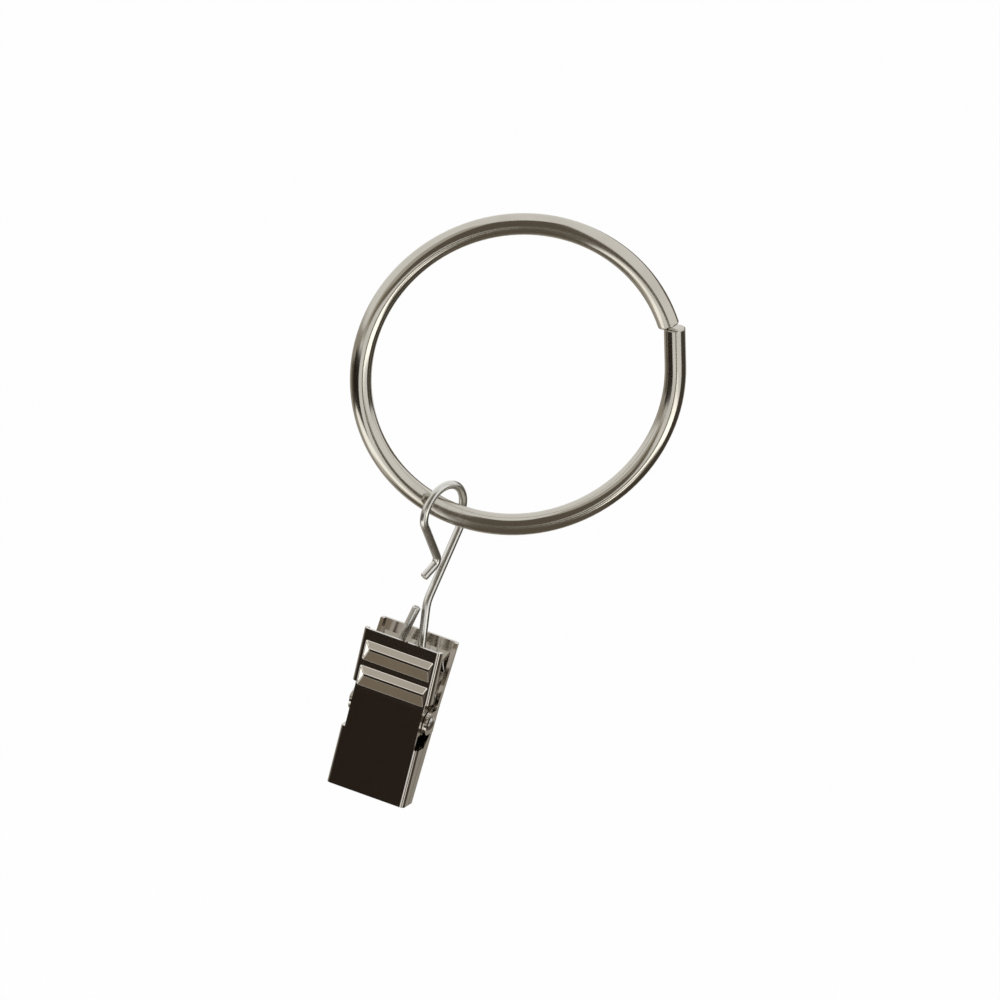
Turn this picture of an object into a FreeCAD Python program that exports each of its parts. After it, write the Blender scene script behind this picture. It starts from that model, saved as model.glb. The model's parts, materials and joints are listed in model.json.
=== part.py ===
import FreeCAD, Part
import math
import os

Vector = FreeCAD.Vector

# A curtain ring with a sprung clip, hanging as on its rod. Millimetres and degrees.
# The origin is the ring's centre, the rod runs along Y and Z is up.

# Ring: one round wire, its two ends butted, the lower end left straight so that it stands proud
ring_inner_diameter = 38.0
ring_wire_diameter = 2.8
ring_seam_angle = 31.5
ring_seam_gap = 0.1
ring_straight_end = 5.2
ring_end_round = 0.25

# Hook: one bent wire with a teardrop loop round the ring, a shank and a triangular eye
hook_wire_diameter = 1.1
hook_place_angle = 12.7
hook_ring_clearance = 1.6
loop_half_width = 3.65
loop_offset = 0.45
loop_turn = 42.0
loop_lean = 14.0
loop_front_shoulder = 0.65
loop_rear_shoulder = 3.2
loop_front_bend = 2.2
loop_rear_bend = 2.2
tail_drop = 7.0
tail_gap = 0.15
tail_bend = 1.1
lip_length = 3.0
lip_angle = 42.0
eye_drop = 26.5
eye_height = 14.0
eye_base_width = 5.6
eye_neck_offset = 0.75
eye_neck_bend = 5.0
eye_base_bend = 1.0
eye_end_offset = 0.35
eye_end_height = 12.9
hook_end_round = 0.15

# Clip: two pressed jaws of the same outline, front and rear
clip_turn = -26.0
clip_width = 10.9
sheet = 0.5
handle_height = 10.5
jaw_length = 11.45
bend_height = 2.0
bend_radius = 6.0
handle_half_depth = 3.9
hinge_half_depth = 2.8
tip_half_depth = 2.0
edge_bend = 0.6
jaw_gap = 0.1
handle_flange = 1.1
hinge_flange = 1.6

# Pressed grooves across each handle
groove_count = 2
groove_height = 2.75
groove_bar = 0.85
groove_depth = 0.4
groove_slope = 1.2
groove_end_slope = 0.5
groove_side_margin = 0.75
groove_start = 0.65
groove_overcut = 0.1
groove_round = 0.25

# Hinge: ears, notch for the outer ears, rivet pin
ear_radius = 1.6
ear_clearance = 0.1
notch_top = 3.0
notch_bottom = 3.4
pin_diameter = 1.2
pin_clearance = 0.05
pin_head_diameter = 2.0
pin_head_height = 0.4

# Spring: a coil round the pin and the eye's base, with a leg against each handle
spring_wire_diameter = 0.5
spring_turns = 4
spring_pitch = 0.72
spring_play = 0.1
spring_seat_gap = 0.05
spring_leg_length = 6.5
eye_pin_gap = 0.25

# Values worked out from the sizes above
ring_wire_radius = ring_wire_diameter / 2
ring_mid_radius = ring_inner_diameter / 2 + ring_wire_radius
hook_wire_radius = hook_wire_diameter / 2
pin_radius = pin_diameter / 2
hang_x = -ring_mid_radius * math.sin(math.radians(hook_place_angle))
hang_z = -ring_mid_radius * math.cos(math.radians(hook_place_angle))
eye_base_z = hang_z - eye_drop
eye_base_above_pin = pin_radius + eye_pin_gap + hook_wire_radius
pin_z = eye_base_z - eye_base_above_pin
handle_lean = math.atan2(handle_half_depth - hinge_half_depth, handle_height - bend_height)
jaw_lean = math.atan2(hinge_half_depth - tip_half_depth, jaw_length + bend_height)
handle_up = Vector(0, -math.sin(handle_lean), math.cos(handle_lean))
handle_inward = Vector(0, math.cos(handle_lean), math.sin(handle_lean))
grooves_end = groove_start + groove_count * (groove_height + groove_bar)
shortest_run = 1e-6


def flat_direction(angle):
    """Unit vector in the XY plane, the angle counted from +X."""
    return Vector(math.cos(math.radians(angle)), math.sin(math.radians(angle)), 0)


def bent_route(points, bends):
    """Edges along straight runs, with a tangent arc of the given radius at each inner point."""
    edges = []
    start = points[0]
    for index, bend in enumerate(bends, 1):
        corner = points[index]
        back = (points[index - 1] - corner).normalize()
        ahead = (points[index + 1] - corner).normalize()
        half_turn = (math.pi - back.getAngle(ahead)) / 2
        reach = bend * math.tan(half_turn)
        arc_start = corner + back * reach
        arc_end = corner + ahead * reach
        inward = (back + ahead).normalize()
        arc_middle = corner + inward * (bend / math.cos(half_turn) - bend)
        if start.distanceToPoint(arc_start) > shortest_run:
            edges.append(Part.LineSegment(start, arc_start).toShape())
        edges.append(Part.Arc(arc_start, arc_middle, arc_end).toShape())
        start = arc_end
    edges.append(Part.LineSegment(start, points[-1]).toShape())
    return edges


def round_wire(edges, radius):
    """Solid round wire swept along the edges."""
    path = Part.Wire(edges)
    first = edges[0]
    direction = first.tangentAt(first.FirstParameter)
    section = Part.Wire([Part.makeCircle(radius, first.valueAt(first.FirstParameter), direction)])
    return path.makePipeShell([section], True, False)


def with_round_ends(wire, end_points, radius):
    """The wire with the edge of each cut end rounded."""
    rims = []
    for edge in wire.Edges:
        for point in end_points:
            if edge.CenterOfMass.distanceToPoint(point) < shortest_run:
                rims.append(edge)
    return wire.makeFillet(radius, rims)


def make_ring():
    """Round wire bent once round, with one end left straight."""
    end_turn = math.degrees(math.atan2(ring_straight_end, ring_mid_radius))
    tilt_allowance = ring_wire_radius * math.sin(math.radians(end_turn))
    gap_turn = math.degrees((ring_seam_gap + tilt_allowance) / ring_mid_radius)
    arc_turn = 360 - gap_turn - end_turn
    wire_place = Vector(ring_mid_radius, 0, 0)
    along = Vector(0, 0, 1)
    section = Part.Face(Part.Wire([Part.makeCircle(ring_wire_radius, wire_place, along)]))
    upward = Vector(0, -1, 0)
    bend = section.revolve(Vector(0, 0, 0), upward, arc_turn)
    end = Part.makeCylinder(ring_wire_radius, ring_straight_end, wire_place, along)
    end.rotate(Vector(0, 0, 0), upward, arc_turn)
    bend_end = FreeCAD.Rotation(upward, arc_turn).multVec(wire_place)
    ring = bend.fuse(end).removeSplitter()
    straight_end_point = end.CenterOfMass * 2 - bend_end
    ring = with_round_ends(ring, [wire_place, straight_end_point], ring_end_round)
    ring.rotate(Vector(0, 0, 0), upward, ring_seam_angle)
    return ring


def make_hook():
    """One wire from the lip, over the ring, down the shank and round the eye to its free end."""
    across = flat_direction(loop_turn)
    lean = math.radians(loop_lean)
    loop_right = across * math.cos(lean) + Vector(0, 0, math.sin(lean))
    loop_up = Vector(0, 0, math.cos(lean)) - across * math.sin(lean)
    ring_top = ring_wire_radius / math.cos(math.radians(hook_place_angle))
    loop_top = hang_z + ring_top + hook_ring_clearance + hook_wire_radius
    loop_centre = Vector(hang_x, 0, loop_top - loop_half_width) - across * loop_offset

    def in_loop(right, up):
        return loop_centre + loop_right * right + loop_up * up

    width = flat_direction(clip_turn)
    eye_base = Vector(hang_x, 0, eye_base_z)

    def in_eye(right, up):
        return eye_base + width * right + Vector(0, 0, up)

    front_shoulder = in_loop(-loop_half_width, -loop_front_shoulder)
    rear_shoulder = in_loop(loop_half_width, -loop_rear_shoulder)
    neck = in_eye(eye_neck_offset, eye_height)
    shank = neck - rear_shoulder
    beside_tail = rear_shoulder + shank * ((rear_shoulder.z - hang_z + tail_drop) / -shank.z)
    outward = front_shoulder - beside_tail
    outward.z = 0
    outward.normalize()
    tail = beside_tail + outward * (hook_wire_diameter + tail_gap)
    lip = math.radians(lip_angle)
    lip_end = tail + (outward * math.sin(lip) - Vector(0, 0, math.cos(lip))) * lip_length
    half_base = eye_base_width / 2
    points = [
        lip_end,
        tail,
        front_shoulder,
        in_loop(-loop_half_width, loop_half_width),
        in_loop(loop_half_width, loop_half_width),
        rear_shoulder,
        neck,
        in_eye(half_base, 0),
        in_eye(-half_base, 0),
        in_eye(-eye_end_offset, eye_end_height),
    ]
    bends = [
        tail_bend,
        loop_front_bend,
        loop_half_width,
        loop_half_width,
        loop_rear_bend,
        eye_neck_bend,
        eye_base_bend,
        eye_base_bend,
    ]
    wire = round_wire(bent_route(points, bends), hook_wire_radius)
    return with_round_ends(wire, [points[0], points[-1]], hook_end_round)


def extruded(points, bends, low_x, high_x):
    """Solid from one X to the other with a closed YZ outline, its first inner points bent round."""
    corners = [Vector(low_x, y, z) for y, z in points]
    rounded = len(bends) + 2
    edges = bent_route(corners[:rounded], bends)
    closing = corners[rounded - 1:] + corners[:1]
    edges += [Part.LineSegment(a, b).toShape() for a, b in zip(closing, closing[1:])]
    return Part.Face(Part.Wire(edges)).extrude(Vector(high_x - low_x, 0, 0))


def jaw_shell():
    """Pressed pan of the front jaw: face, side flanges and tip lip, open at the top and inwards."""
    half_width = clip_width / 2
    face = [
        (-handle_half_depth, handle_height),
        (-hinge_half_depth, bend_height),
        (-tip_half_depth, -jaw_length),
    ]
    flange = [
        (-jaw_gap / 2, -jaw_length),
        (-jaw_gap / 2, -notch_bottom),
        (-hinge_half_depth + hinge_flange, -ear_radius),
        (-hinge_half_depth + hinge_flange, notch_top),
        (-handle_half_depth + handle_flange, handle_height),
    ]
    block = extruded(face + flange, [bend_radius], -half_width, half_width)
    face_line = Part.Wire(bent_route([Vector(0, y, z) for y, z in face], [bend_radius]))
    rounded = []
    for edge in block.Edges:
        middle = edge.valueAt((edge.FirstParameter + edge.LastParameter) / 2)
        at_side = abs(abs(middle.x) - half_width) < shortest_run
        middle.x = 0
        if at_side and Part.Vertex(middle).distToShape(face_line)[0] < shortest_run:
            rounded.append(edge)
    block = block.makeFillet(edge_bend, rounded)
    handle_wall = sheet / math.cos(handle_lean)
    jaw_wall = sheet / math.cos(jaw_lean)
    inside = [
        (-handle_half_depth + handle_wall, handle_height),
        (-hinge_half_depth + sheet, bend_height),
        (-tip_half_depth + jaw_wall, -jaw_length + sheet),
        (hinge_half_depth, -jaw_length + sheet),
        (hinge_half_depth, handle_height),
    ]
    hollow = extruded(inside, [bend_radius - sheet], -half_width + sheet, half_width - sheet)
    return block.cut(hollow)


def groove_block(low, lift):
    """Tapered block of one groove on the front handle, its low edge that far up the handle's face.

    The block runs from just outside the face to the groove's floor, all moved inwards by the lift.
    """
    origin = Vector(0, -hinge_half_depth, bend_height) + handle_up * low
    half_width = clip_width / 2 - groove_side_margin

    def rectangle(depth):
        bottom = groove_slope * depth / groove_depth
        top = groove_height - bottom
        side = half_width - groove_end_slope * depth / groove_depth
        level = origin + handle_inward * (depth + lift)
        places = [(-side, bottom), (side, bottom), (side, top), (-side, top), (-side, bottom)]
        return Part.makePolygon([level + handle_up * rise + Vector(x, 0, 0) for x, rise in places])

    block = Part.makeLoft([rectangle(-groove_overcut), rectangle(groove_depth)], True, True)
    mouth = origin + handle_inward * (lift - groove_overcut)
    pressed = [edge for edge in block.Edges
               if (edge.CenterOfMass - mouth).dot(handle_inward) > shortest_run]
    return block.makeFillet(groove_round, pressed)


def with_grooves(shell):
    """The pan with each groove pressed in, its rims rounded, standing out as far on the inside."""
    for index in range(groove_count):
        low = groove_start + index * (groove_height + groove_bar)
        shell = shell.fuse(groove_block(low, sheet)).cut(groove_block(low, 0))
    face_foot = Vector(0, -hinge_half_depth, bend_height)
    flat_half_width = clip_width / 2 - edge_bend
    rims = []
    for edge in shell.Edges:
        offset = edge.CenterOfMass - face_foot
        on_face = abs(offset.dot(handle_inward)) < shortest_run
        in_grooves = groove_start - shortest_run < offset.dot(handle_up) < grooves_end
        if on_face and in_grooves and abs(offset.x) < flat_half_width:
            rims.append(edge)
    return shell.makeFillet(groove_round, rims)


def ear_pair(inset, root):
    """Two ears of sheet round the pin, inset from the clip's sides, rooted towards the front face."""
    half_width = clip_width / 2
    ears = []
    for low_x in (-half_width + inset, half_width - inset - sheet):
        disc = Part.makeCylinder(ear_radius, sheet, Vector(low_x, 0, 0), Vector(1, 0, 0))
        web = Part.makeBox(sheet, root, 2 * ear_radius, Vector(low_x, -root, -ear_radius))
        ears.append(disc.fuse(web))
    return ears


def drilled(jaw):
    """The jaw with the pin's hole through its ears."""
    hole = pin_radius + pin_clearance
    bore = Part.makeCylinder(hole, 2 * clip_width, Vector(-clip_width, 0, 0), Vector(1, 0, 0))
    return jaw.cut(bore).removeSplitter()


def placed(shape):
    """Turns a piece of the clip from the pin's own frame to where the clip hangs."""
    shape.rotate(Vector(0, 0, 0), Vector(0, 0, 1), clip_turn)
    shape.translate(Vector(hang_x, 0, pin_z))
    return shape


def make_front_jaw():
    """Waisted at the hinge, so that its ears pass inside those of the rear jaw."""
    jaw = with_grooves(jaw_shell())
    half_width = clip_width / 2
    waist = sheet + ear_clearance
    depth = 2 * handle_half_depth
    height = notch_top + notch_bottom
    for low_x in (-half_width - sheet, half_width - waist):
        corner = Vector(low_x, -depth, -notch_bottom)
        jaw = jaw.cut(Part.makeBox(waist + sheet, depth, height, corner))
    root = hinge_half_depth - sheet
    for ear in ear_pair(waist, root):
        jaw = jaw.fuse(ear)
    return placed(drilled(jaw))


def make_rear_jaw():
    """The same pressing, seen from the other side, with its ears in line with its flanges."""
    jaw = with_grooves(jaw_shell())
    for ear in ear_pair(0, hinge_half_depth - edge_bend):
        jaw = jaw.fuse(ear)
    jaw.rotate(Vector(0, 0, 0), Vector(0, 0, 1), 180)
    return placed(drilled(jaw))


def make_pin():
    """Rivet with a domed head past each outer ear."""
    neck = clip_width / 2 + pin_clearance
    head_radius = pin_head_diameter / 2
    top = neck + pin_head_height
    outline = [
        Part.LineSegment(Vector(-top, 0, 0), Vector(top, 0, 0)).toShape(),
        Part.LineSegment(Vector(neck, head_radius, 0), Vector(neck, pin_radius, 0)).toShape(),
        Part.LineSegment(Vector(neck, pin_radius, 0), Vector(-neck, pin_radius, 0)).toShape(),
        Part.LineSegment(Vector(-neck, pin_radius, 0), Vector(-neck, head_radius, 0)).toShape(),
    ]
    dome_radius = (head_radius ** 2 + pin_head_height ** 2) / (2 * pin_head_height)
    half_arc = math.asin(head_radius / dome_radius) / 2
    for side in (1, -1):
        middle_x = top - dome_radius + dome_radius * math.cos(half_arc)
        middle = Vector(side * middle_x, dome_radius * math.sin(half_arc), 0)
        rim = Vector(side * neck, head_radius, 0)
        outline.append(Part.Arc(Vector(side * top, 0, 0), middle, rim).toShape())
    face = Part.Face(Part.Wire(Part.sortEdges(outline)[0]))
    return placed(face.revolve(Vector(0, 0, 0), Vector(1, 0, 0), 360))


def make_spring():
    """Coil round the pin and the eye's base, its left leg on the front handle and its right on the rear."""
    wire_radius = spring_wire_diameter / 2
    coil_top = eye_base_above_pin + hook_wire_radius + spring_play
    coil_bottom = -pin_radius - spring_play
    coil_radius = (coil_top - coil_bottom) / 2 + wire_radius
    coil_z = (coil_top + coil_bottom) / 2
    seat_up = groove_start + groove_height / 2
    seat_inset = sheet + groove_depth + spring_seat_gap + wire_radius
    seat_y = hinge_half_depth + seat_up * math.sin(handle_lean) - seat_inset * math.cos(handle_lean)
    seat_z = bend_height + seat_up * math.cos(handle_lean) + seat_inset * math.sin(handle_lean) - coil_z
    leg_lean = math.acos(coil_radius / math.hypot(seat_y, seat_z)) - math.atan2(seat_z, seat_y)
    turn_between_legs = (math.pi - 2 * leg_lean) / (2 * math.pi)
    length = (spring_turns + turn_between_legs) * spring_pitch
    coil = Part.makeHelix(spring_pitch, length, coil_radius)
    to_clip = FreeCAD.Matrix(0, 0, 1, -length / 2, -1, 0, 0, 0, 0, -1, 0, coil_z)
    coil.rotate(Vector(0, 0, 0), Vector(0, 0, 1), math.degrees(leg_lean))
    coil = coil.transformGeometry(to_clip)
    edges = list(coil.Edges)
    start = edges[0].valueAt(edges[0].FirstParameter)
    end = edges[-1].valueAt(edges[-1].LastParameter)
    away = edges[0].tangentAt(edges[0].FirstParameter) * -spring_leg_length
    onward = edges[-1].tangentAt(edges[-1].LastParameter) * spring_leg_length
    left_leg = Part.LineSegment(start + away, start).toShape()
    right_leg = Part.LineSegment(end, end + onward).toShape()
    return placed(round_wire([left_leg] + edges + [right_leg], wire_radius))


pieces = {
    "ring": make_ring(),
    "wire_hook": make_hook(),
    "front_jaw": make_front_jaw(),
    "rear_jaw": make_rear_jaw(),
    "pivot_pin": make_pin(),
    "spring": make_spring(),
}
os.makedirs("parts", exist_ok=True)
for name, shape in pieces.items():
    shape.exportStep(f"parts/{name}.step")
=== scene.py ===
import json
import math

import bpy
from mathutils import Matrix, Vector


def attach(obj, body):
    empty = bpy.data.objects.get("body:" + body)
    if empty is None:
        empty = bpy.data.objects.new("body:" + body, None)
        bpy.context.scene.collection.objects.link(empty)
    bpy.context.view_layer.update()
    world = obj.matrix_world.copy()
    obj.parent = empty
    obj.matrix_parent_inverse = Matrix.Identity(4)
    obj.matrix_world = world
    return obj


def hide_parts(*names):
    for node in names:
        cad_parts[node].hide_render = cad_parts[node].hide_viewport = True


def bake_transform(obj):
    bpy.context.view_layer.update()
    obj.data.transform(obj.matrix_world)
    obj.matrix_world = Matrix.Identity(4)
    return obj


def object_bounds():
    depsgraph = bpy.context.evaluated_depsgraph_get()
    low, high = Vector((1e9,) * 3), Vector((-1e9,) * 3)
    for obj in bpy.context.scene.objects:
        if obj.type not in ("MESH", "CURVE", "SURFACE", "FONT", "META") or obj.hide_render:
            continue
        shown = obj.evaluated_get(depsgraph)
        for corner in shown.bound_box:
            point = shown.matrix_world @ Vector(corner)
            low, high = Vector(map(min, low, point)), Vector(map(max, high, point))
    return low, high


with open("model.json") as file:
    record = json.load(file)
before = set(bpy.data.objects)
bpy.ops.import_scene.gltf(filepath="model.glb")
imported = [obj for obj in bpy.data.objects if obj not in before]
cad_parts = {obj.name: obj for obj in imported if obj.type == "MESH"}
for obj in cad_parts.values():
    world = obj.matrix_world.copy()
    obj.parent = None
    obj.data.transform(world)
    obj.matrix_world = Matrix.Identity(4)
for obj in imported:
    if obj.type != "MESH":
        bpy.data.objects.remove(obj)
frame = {"nodes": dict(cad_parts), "record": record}
cad_low, cad_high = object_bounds()

# A nickel-plated curtain ring with a sprung clip on a bent wire hook, lit as a small product
# on a white sweep. Lengths are metres, and mm turns millimetres into them.
mm = 0.001
full_turn = 2 * math.pi
white = (1.0, 1.0, 1.0)
joints = {joint["name"]: joint for joint in frame["record"]["behaviour"]["joints"]}
hang_point = Vector(joints["hook_swing"]["pos_m"])
pin_point = Vector(joints["front_jaw_open"]["pos_m"])
clip_width_axis = Vector(joints["clip_swing"]["axis"])
clip_turn = math.atan2(clip_width_axis.y, clip_width_axis.x)
object_middle = (cad_low + cad_high) / 2

# Camera: the photo's viewing angle, a long lens and the picture's own scale
camera_azimuth = math.radians(-11.0)
camera_elevation = math.radians(16.5)
camera_roll = math.radians(15.2)
camera_distance = 4.0
camera_sensor = 36.0
picture_side = 1000
pixels_per_mm = 7.764
ring_centre_pixel = (518.2, 374.4)

# Nickel plate: smudges and rubbed places tint it and dull it, and lines and grain stand out on it.
# A scale counts a noise's features to the metre, and a range is the part of it that makes a patch.
smudge_scale = 170
smudge_range = (0.42, 0.72)
smudge_tint = 0.45
wear_scale = 900
wear_range = (0.3, 0.7)
wear_tint = 0.4
wear_haze = 2
grain_scale = 2600
grain_share = 0.3
plate_relief_depth = 0.002 * mm

# Rubbed places: the rod's seat inside the ring's top, where the ring and the hook hang on each
# other, and the handles, counted up from the pin
rod_wear_radii = (19.1 * mm, 19.8 * mm)
rod_wear_heights = (9 * mm, 17 * mm)
ring_rub_reach = 5 * mm
hook_rub_reach = 4 * mm
rub_core = 0.35
handle_wear_start = pin_point.z + 6 * mm
handle_wear_full = pin_point.z + 11 * mm
handle_wear = 0.12

# Drawing and rolling lines: how fine and how long they are on each piece
ring_lines_per_radian = 4
ring_lines_per_metre = 9000
hook_line = (0.4 * mm, 0.4 * mm, 6 * mm)
jaw_line = (0.25 * mm, 0.25 * mm, 5 * mm)
pin_line = (0.3 * mm, 0.3 * mm, 0.3 * mm)
spring_line = (0.15 * mm, 0.15 * mm, 2 * mm)

# Plain steel: the pin and the spring, with grey stains
stain_scale = 700
stain_range = (0.45, 0.75)
stain_tint = 0.7
stain_darkness = 0.55
steel_haze = 0.12
steel_relief = 0.5
steel_relief_depth = 0.004 * mm

# Spring: the clip's own torsion spring, with the coil and legs of the solid that it stands for.
# The legs' toe-in, a slope, takes them between the wires of the hook's eye when the clip swings.
spring_wire_radius = 0.25 * mm
spring_coil_radius = 1.625 * mm
spring_coil_height = 0.675 * mm
spring_pitch = 0.72 * mm
spring_turns = 4.5
spring_leg_lean = math.radians(3.95)
spring_leg_length = 6.5 * mm
spring_leg_toe_in = 0.12
spring_tip_inset = spring_wire_radius / 4
spring_tip_height = spring_wire_radius / 5
spring_angle = spring_turns * full_turn - 2 * spring_leg_lean
spring_length = spring_angle / full_turn * spring_pitch
spring_steps_per_turn = 40
spring_leg_steps = 14
wire_sides = 20
merge_distance = spring_wire_radius / 100
smooth_angle = math.radians(40)

# The coil's place: its own axis, Z, lies along the clip's width, over the pin
clip_place = Matrix.Translation(pin_point) @ Matrix.Rotation(clip_turn, 4, "Z")
coil_lay = Matrix((
    (0, 0, 1, -spring_length / 2),
    (-1, 0, 0, 0),
    (0, -1, 0, spring_coil_height),
    (0, 0, 0, 1),
))
coil_place = clip_place @ coil_lay @ Matrix.Rotation(spring_leg_lean, 4, "Z")

# Stage: white floor and surround, a soft lamp, and cards that only the metal sees
floor_drop = 0.46
floor_radius = 2.5
floor_sides = 128
floor_colour = (0.92, 0.92, 0.92)
floor_roughness = 0.9
floor_glow = 0.95
lamp_place = Vector((0.25, 0.15, 0.9))
lamp_target = Vector((0, 0, -0.02))
lamp_size = 1.2
lamp_power = 6.0
room_light = 0.8
card_distance = 0.45
card_spacing = 1 * mm
card_columns = 24
card_rows = 12

# Card edges: the degrees over which a card fades out, and the largest share of its side for that
crisp = 4.0
soft = 20.0
widest_fade = 0.3

# Card colours, from the darkest to the brightest
near_black = (0.030, 0.022, 0.016)
deep_shade = (0.075, 0.064, 0.050)
shade = (0.150, 0.127, 0.100)
dim = (0.26, 0.22, 0.165)
half_light = (0.44, 0.41, 0.36)
soft_light = (0.58, 0.56, 0.51)
pale = (0.66, 0.62, 0.57)
bright = (1.55, 1.55, 1.50)
glare = (2.20, 2.20, 2.12)

# Cards: the azimuths and elevations that each one spans, in degrees from the object's middle, its
# colour and its edge. Each one stands a little further off than the one before it.
surround = {
    "glint_card": ((30, 46), (-36, -24), glare, crisp),
    "slot_card": ((15, 64), (-24, -9), glare, crisp),
    "slope_card": ((-52, -29), (-9, 10), dim, crisp),
    "front_left_card": ((-97, -24), (-42, -14), near_black, crisp),
    "low_window_card": ((-94, 4), (-62, -37), bright, crisp),
    "low_soft_card": ((-96, -4), (-74, -57), pale, crisp),
    "front_gap_card": ((5, 26), (-16, 2), shade, crisp),
    "front_card": ((-38, 24), (-6, 61), shade, crisp),
    "front_soft_card": ((-70, -30), (-14, 60), soft_light, crisp),
    "right_high_card": ((61, 132), (-46, 9), deep_shade, crisp),
    "right_low_card": ((5, 140), (-78, -9), shade, crisp),
    "left_low_card": ((-128, -64), (-43, -18), shade, crisp),
    "left_high_card": ((-128, -60), (-21, -5), half_light, crisp),
    "under_card": ((-200, 200), (-90, -66), shade, crisp),
    "loop_card": ((112, 166), (-1, 27), shade, crisp),
    "back_card": ((118, 262), (-84, 4), half_light, soft),
}


class Value:
    """A node's output. Python operators on it add Math nodes."""

    def __init__(self, nodes, socket):
        self.nodes = nodes
        self.socket = socket

    def other(self, output):
        """Another output of the same node."""
        return Value(self.nodes, self.socket.node.outputs[output])

    def math(self, operation, *others):
        """The result of one Math node."""
        inputs = dict(enumerate((self, *others)))
        return self.nodes.node("ShaderNodeMath", {"operation": operation}, inputs, "Value")

    def __add__(self, other):
        return self.math("ADD", other)

    __radd__ = __add__

    def __rsub__(self, other):
        return (self * -1) + other

    def __mul__(self, other):
        return self.math("MULTIPLY", other)

    __rmul__ = __mul__

    def __pow__(self, other):
        return self.math("POWER", other)

    def between(self, low, high):
        """0 below low, 1 above high and a smooth step between them."""
        return self.nodes.node(
            "ShaderNodeMapRange",
            {"interpolation_type": "SMOOTHSTEP"},
            {"Value": self, "From Min": low, "From Max": high},
            "Result",
        )


class Nodes:
    """The shader nodes of a material or of the world, added one by one."""

    def __init__(self, owner):
        owner.use_nodes = True
        self.tree = owner.node_tree

    def node(self, kind, settings, inputs, output):
        """Adds one node, sets it up, fills its sockets and returns the named output."""
        made = self.tree.nodes.new(kind)
        for name, value in settings.items():
            setattr(made, name, value)
        for name, value in inputs.items():
            self.fill(made.inputs[name], value)
        return Value(self, made.outputs[output])

    def fill(self, socket, value):
        """Links a socket to a node's output, or sets it to a constant."""
        if isinstance(value, Value):
            self.tree.links.new(value.socket, socket)
        else:
            socket.default_value = value

    def seen(self):
        """1 for what the camera, metal and glass see, and 0 for the light that falls elsewhere."""
        camera = self.node("ShaderNodeLightPath", {}, {}, "Is Camera Ray")
        mirrored = camera.math("MAXIMUM", camera.other("Is Glossy Ray"))
        return mirrored.math("MAXIMUM", camera.other("Is Transmission Ray"))

    def show(self, factor, first, second):
        """Sends a blend of two shaders to the output, in the place of what it had."""
        both = self.node("ShaderNodeMixShader", {}, {0: factor, 1: first, 2: second}, "Shader")
        self.fill(self.tree.get_output_node("ALL").inputs["Surface"], both)


class Finish(Nodes):
    """A procedural material on Object coordinates."""

    def __init__(self, name):
        self.material = bpy.data.materials.new(name)
        super().__init__(self.material)
        self.shader = self.tree.nodes["Principled BSDF"]
        self.place = self.node("ShaderNodeTexCoord", {}, {}, "Object")

    def split(self, vector):
        """The three numbers of a vector."""
        x = self.node("ShaderNodeSeparateXYZ", {}, {"Vector": vector}, "X")
        return x, x.other("Y"), x.other("Z")

    def joined(self, x, y, z):
        """One vector from three numbers."""
        return self.node("ShaderNodeCombineXYZ", {}, {"X": x, "Y": y, "Z": z}, "Vector")

    def noise(self, vector, scale=1.0, detail=4.0, roughness=0.6):
        """Soft noise from 0 to 1 with this many features to the unit."""
        inputs = {"Vector": vector, "Scale": scale, "Detail": detail, "Roughness": roughness}
        return self.node("ShaderNodeTexNoise", {}, inputs, "Fac")

    def lines(self, size, turn=0.0, **settings):
        """Noise drawn out into lines of this size along each axis, turned about Z."""
        inputs = {"Vector": self.place, "Rotation": (0, 0, turn), "Scale": size}
        counted = self.node("ShaderNodeMapping", {"vector_type": "TEXTURE"}, inputs, "Vector")
        return self.noise(counted, **settings)

    def patches(self, scale, span, **settings):
        """Soft patches, which start where the noise enters this span and are full where it ends."""
        return self.noise(self.place, scale, **settings).between(*span)

    def mixed(self, factor, first, second):
        """Blend of two colours."""
        inputs = {0: factor, 6: opaque(first), 7: opaque(second)}
        return self.node("ShaderNodeMix", {"data_type": "RGBA"}, inputs, 2)

    def bump(self, height, depth, strength):
        """Surface normal raised by a height from 0 to 1 times the depth."""
        inputs = {"Height": height, "Distance": depth, "Strength": strength}
        return self.node("ShaderNodeBump", {}, inputs, "Normal")

    def set(self, **sockets):
        """Fills the shader's own sockets, with spaces written as underscores."""
        for name, value in sockets.items():
            self.fill(self.shader.inputs[name.replace("_", " ")], value)

    def glow(self, colour):
        """Even light of a colour."""
        inputs = {"Color": opaque(colour), "Strength": 1.0}
        return self.node("ShaderNodeEmission", {}, inputs, "Emission")


def opaque(colour):
    """A colour with full cover."""
    return (*colour, 1.0)


def ring_radius(x, z):
    """Distance from the ring's axis."""
    return (x * x + z * z) ** 0.5


def ring_lines(finish):
    """Drawing lines that run round the ring along its wire."""
    x, y, z = finish.split(finish.place)
    along = z.math("ARCTAN2", x) * ring_lines_per_radian
    across = ring_radius(x, z) * ring_lines_per_metre
    return finish.noise(finish.joined(along, across, y * ring_lines_per_metre))


def rub(finish, reach):
    """1 where the ring and the hook hang on each other, and 0 beyond this reach."""
    offset = finish.node(
        "ShaderNodeVectorMath",
        {"operation": "DISTANCE"},
        {0: finish.place, 1: tuple(hang_point)},
        "Value",
    )
    return 1 - offset.between(rub_core * reach, reach)


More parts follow.
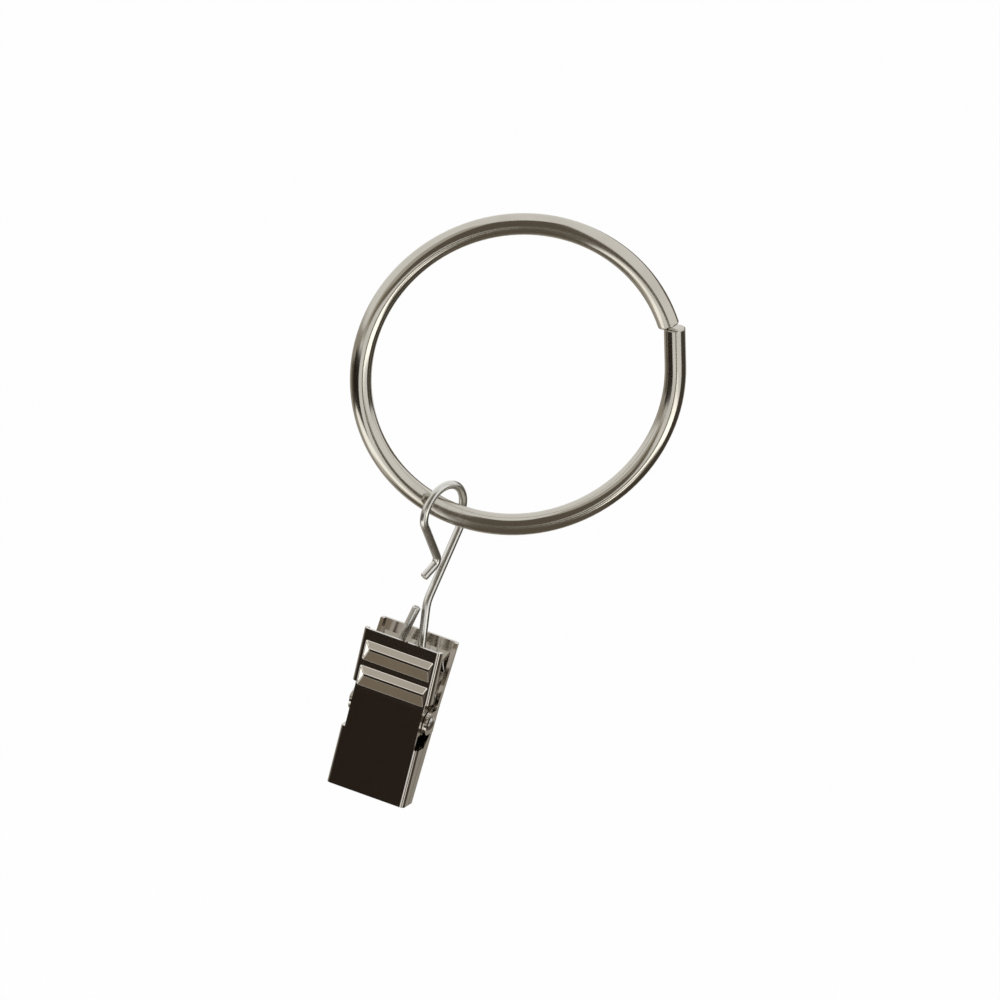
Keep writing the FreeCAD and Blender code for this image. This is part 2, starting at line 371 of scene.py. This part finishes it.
def nickel(name, light, deep, roughness, haze, relief, lines, worn):
    """Bright nickel plate with smudges, fine lines and duller plating where it is rubbed."""
    finish = Finish(name)
    marks = lines(finish)
    smudge = finish.patches(smudge_scale, smudge_range)
    grain = finish.noise(finish.place, grain_scale, detail=2.0, roughness=0.5)
    dull = worn(finish) * finish.patches(wear_scale, wear_range, detail=3.0, roughness=0.5)
    tint = (smudge * smudge_tint + dull * wear_tint).math("MINIMUM", 1.0)
    height = marks * (1 - grain_share) + grain * grain_share
    finish.set(
        Base_Color=finish.mixed(tint, light, deep),
        Metallic=1.0,
        Roughness=roughness + smudge * haze + dull * (wear_haze * haze) + marks * haze,
        Normal=finish.bump(height, plate_relief_depth, relief),
    )
    return finish.material


def ring_finish():
    """The ring's bright wire, dulled on the inside where the rod and the hook ride."""
    def worn(finish):
        x, _, z = finish.split(finish.place)
        inside = 1 - ring_radius(x, z).between(*rod_wear_radii)
        rod_seat = inside * z.between(*rod_wear_heights)
        return rod_seat.math("MAXIMUM", rub(finish, ring_rub_reach))

    return nickel(
        "ring_nickel",
        light=(0.545, 0.52, 0.46),
        deep=(0.46, 0.43, 0.37),
        roughness=0.10,
        haze=0.04,
        relief=0.12,
        lines=ring_lines,
        worn=worn,
    )


def hook_finish():
    """The hook's thin wire, drawn along its length and rubbed where it carries the weight."""
    def lines(finish):
        return finish.lines(hook_line, detail=3.0)

    def worn(finish):
        return rub(finish, hook_rub_reach)

    return nickel(
        "hook_nickel",
        light=(0.69, 0.68, 0.64),
        deep=(0.58, 0.565, 0.52),
        roughness=0.22,
        haze=0.03,
        relief=0.02,
        lines=lines,
        worn=worn,
    )


def jaw_finish():
    """The jaws' mirror plate, with faint rolling lines and fingers' wear on the handles."""
    def lines(finish):
        return finish.lines(jaw_line, turn=clip_turn)

    def worn(finish):
        _, _, z = finish.split(finish.place)
        return z.between(handle_wear_start, handle_wear_full) * handle_wear

    return nickel(
        "jaw_nickel",
        light=(0.58, 0.545, 0.50),
        deep=(0.48, 0.445, 0.40),
        roughness=0.07,
        haze=0.02,
        relief=0.12,
        lines=lines,
        worn=worn,
    )


def plain_steel(name, colour, roughness, line):
    """Plain steel wire or rivet, with drawing lines and a little grey staining."""
    finish = Finish(name)
    marks = finish.lines(line, roughness=0.65)
    stain = finish.patches(stain_scale, stain_range)
    dark = [part * stain_darkness for part in colour]
    finish.set(
        Base_Color=finish.mixed(stain * stain_tint, colour, dark),
        Metallic=1.0,
        Roughness=roughness + marks * steel_haze + stain * steel_haze,
        Normal=finish.bump(marks, steel_relief_depth, steel_relief),
    )
    return finish.material


def dress_nodes():
    """Gives every solid that shows its own finish."""
    jaw = jaw_finish()
    finishes = {
        "ring": ring_finish(),
        "wire_hook": hook_finish(),
        "front_jaw": jaw,
        "rear_jaw": jaw,
        "pivot_pin": plain_steel("pin_steel", (0.60, 0.57, 0.52), roughness=0.18, line=pin_line),
    }
    for name, finish in finishes.items():
        frame["nodes"][name].material_slots[0].material = finish


def wire_circle(name):
    """A circle of edges as wide as the spring's wire, as a new mesh object in edit mode."""
    bpy.ops.object.select_all(action="DESELECT")
    bpy.ops.mesh.primitive_circle_add(
        vertices=wire_sides,
        radius=spring_wire_radius,
        location=(0, 0, 0),
    )
    section = bpy.context.object
    section.name = name
    bpy.ops.object.mode_set(mode="EDIT")
    bpy.ops.mesh.select_all(action="SELECT")
    return section


def settle(piece, place, finish):
    """Welds a spring piece's doubled points, turns its faces outward, puts its place in its mesh and
    lets it stand for the spring.
    """
    bpy.ops.object.mode_set(mode="EDIT")
    bpy.ops.mesh.select_all(action="SELECT")
    bpy.ops.mesh.remove_doubles(threshold=merge_distance)
    bpy.ops.mesh.normals_make_consistent(inside=False)
    bpy.ops.object.mode_set(mode="OBJECT")
    piece.data.transform(place)
    piece.data.materials.append(finish)
    bpy.ops.object.shade_smooth_by_angle(angle=smooth_angle)
    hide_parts("spring")


def spring_coil(finish):
    """The coil: the wire's section screwed round the spring's axis."""
    coil = wire_circle("spring_coil")
    bpy.ops.transform.rotate(value=math.pi / 2, orient_axis="X", center_override=(0, 0, 0))
    bpy.ops.transform.translate(value=(spring_coil_radius, 0, 0))
    bpy.ops.object.mode_set(mode="OBJECT")
    screw = coil.modifiers.new("turns", "SCREW")
    screw.axis = "Z"
    screw.angle = spring_angle
    screw.screw_offset = spring_length
    screw.steps = round(spring_steps_per_turn * spring_angle / full_turn)
    screw.render_steps = screw.steps
    bpy.ops.object.modifier_apply(modifier=screw.name)
    settle(coil, coil_place, finish)
    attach(coil, "hinge")


def spring_leg(name, finish, end):
    """One straight leg from the coil's first end, 0, or its last, 1."""
    cosine = math.cos(spring_angle * end)
    sine = math.sin(spring_angle * end)
    start = Vector((spring_coil_radius * cosine, spring_coil_radius * sine, spring_length * end))
    onward = Vector((-sine, cosine, -spring_leg_toe_in)).normalized()
    direction = onward if end else -onward
    leg = wire_circle(name)
    step = Vector((0, 0, spring_leg_length / spring_leg_steps))
    for _ in range(spring_leg_steps):
        bpy.ops.mesh.extrude_region_move(TRANSFORM_OT_translate={"value": step})
    bpy.ops.mesh.edge_face_add()
    bpy.ops.mesh.inset(thickness=spring_tip_inset)
    bpy.ops.transform.translate(value=(0, 0, spring_tip_height))
    place = coil_place @ Matrix.Translation(start)
    turn_to_leg = Vector((0, 0, 1)).rotation_difference(direction).to_matrix().to_4x4()
    settle(leg, place @ turn_to_leg, finish)
    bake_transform(leg)


def make_spring():
    """The torsion spring, as a coil on the pin and a leg against each handle."""
    finish = plain_steel("spring_steel", (0.42, 0.41, 0.40), roughness=0.22, line=spring_line)
    spring_coil(finish)
    spring_leg("spring_front_leg", finish, 0)
    spring_leg("spring_rear_leg", finish, 1)


def toward(azimuth, elevation):
    """Unit vector from the origin, the azimuth counted from the front to the right."""
    flat = math.cos(elevation)
    return Vector((math.sin(azimuth) * flat, -math.cos(azimuth) * flat, math.sin(elevation)))


def floor_material():
    """A matt pale floor, with a glow that lets the camera and the metal see it as white."""
    finish = Finish("floor_white")
    finish.set(Base_Color=opaque(floor_colour), Roughness=floor_roughness, Specular_IOR_Level=0.0)
    matt = Value(finish, finish.shader.outputs["BSDF"])
    finish.show(finish.seen() * floor_glow, matt, finish.glow(white))
    return finish.material


def make_floor():
    """A wide pale floor under the hanging clip."""
    bpy.ops.object.select_all(action="DESELECT")
    bpy.ops.mesh.primitive_circle_add(
        vertices=floor_sides,
        radius=floor_radius,
        fill_type="NGON",
        location=(0, 0, cad_low.z - floor_drop),
    )
    floor = bpy.context.object
    floor.name = "floor"
    floor.data.materials.append(floor_material())


def card_material(name, colour, fades):
    """A card's own even brightness, faded out over these shares of its width and height."""
    finish = Finish(name)
    u, v, _ = finish.split(finish.place.other("UV"))
    across, up = fades
    sides = u.between(0.0, across) * (1 - u).between(0.0, across)
    ends = v.between(0.0, up) * (1 - v).between(0.0, up)
    clear = finish.node("ShaderNodeBsdfTransparent", {}, {}, "BSDF")
    finish.show(sides * ends, clear, finish.glow(colour))
    return finish.material


def make_card(name, distance, azimuths, elevations, colour, edge):
    """A curved studio card that shows in the metal and nowhere else."""
    bpy.ops.object.select_all(action="DESELECT")
    bpy.ops.mesh.primitive_grid_add(x_subdivisions=card_columns, y_subdivisions=card_rows, size=1.0)
    card = bpy.context.object
    card.name = name
    width = azimuths[1] - azimuths[0]
    height = elevations[1] - elevations[0]
    for vertex in card.data.vertices:
        across, up, _ = vertex.co
        azimuth = math.radians(azimuths[0] + width * (across + 0.5))
        elevation = math.radians(elevations[0] + height * (up + 0.5))
        vertex.co = object_middle + toward(azimuth, elevation) * distance
    card.visible_camera = False
    card.visible_shadow = False
    card.visible_diffuse = False
    fades = [min(edge / side, widest_fade) for side in (width, height)]
    card.data.materials.append(card_material(name, colour, fades))


def make_lamp():
    """A square soft lamp from above, which the metal doesn't mirror."""
    lamp = bpy.data.lights.new("top_lamp", "AREA")
    lamp.size = lamp_size
    lamp.energy = lamp_power
    holder = bpy.data.objects.new("top_lamp", lamp)
    holder.location = lamp_place
    holder.rotation_mode = "QUATERNION"
    holder.rotation_quaternion = (lamp_place - lamp_target).to_track_quat("Z", "Y")
    holder.visible_glossy = False
    bpy.context.collection.objects.link(holder)


def make_world():
    """White all round for the camera and the metal, and a plain soft light for the rest."""
    world = bpy.data.worlds.new("studio")
    bpy.context.scene.world = world
    nodes = Nodes(world)
    light, backdrop = [
        nodes.node(
            "ShaderNodeBackground",
            {},
            {"Color": opaque(white), "Strength": strength},
            "Background",
        )
        for strength in (room_light, 1.0)
    ]
    nodes.show(nodes.seen(), light, backdrop)


def make_camera():
    """The photo's view: above and a little to the left, rolled so that the clip hangs to the left."""
    back = toward(camera_azimuth, camera_elevation)
    level = toward(camera_azimuth + math.pi / 2, 0.0)
    upright = back.cross(level)
    right = level * math.cos(camera_roll) + upright * math.sin(camera_roll)
    up = upright * math.cos(camera_roll) - level * math.sin(camera_roll)
    metre_per_pixel = mm / pixels_per_mm
    middle = picture_side / 2
    aim = right * (middle - ring_centre_pixel[0]) * metre_per_pixel
    aim += up * (ring_centre_pixel[1] - middle) * metre_per_pixel
    camera = bpy.data.cameras.new("camera")
    camera.sensor_width = camera_sensor
    camera.lens = camera_sensor * camera_distance / (picture_side * metre_per_pixel)
    holder = bpy.data.objects.new("camera", camera)
    turned = Matrix((right, up, back)).transposed().to_4x4()
    holder.matrix_world = Matrix.Translation(aim + back * camera_distance) @ turned
    bpy.context.collection.objects.link(holder)
    bpy.context.scene.camera = holder


dress_nodes()
make_spring()
make_floor()
for order, (card_name, card) in enumerate(surround.items()):
    make_card(card_name, card_distance + order * card_spacing, *card)
make_lamp()
make_world()
make_camera()
bpy.context.scene.view_settings.view_transform = "Standard"
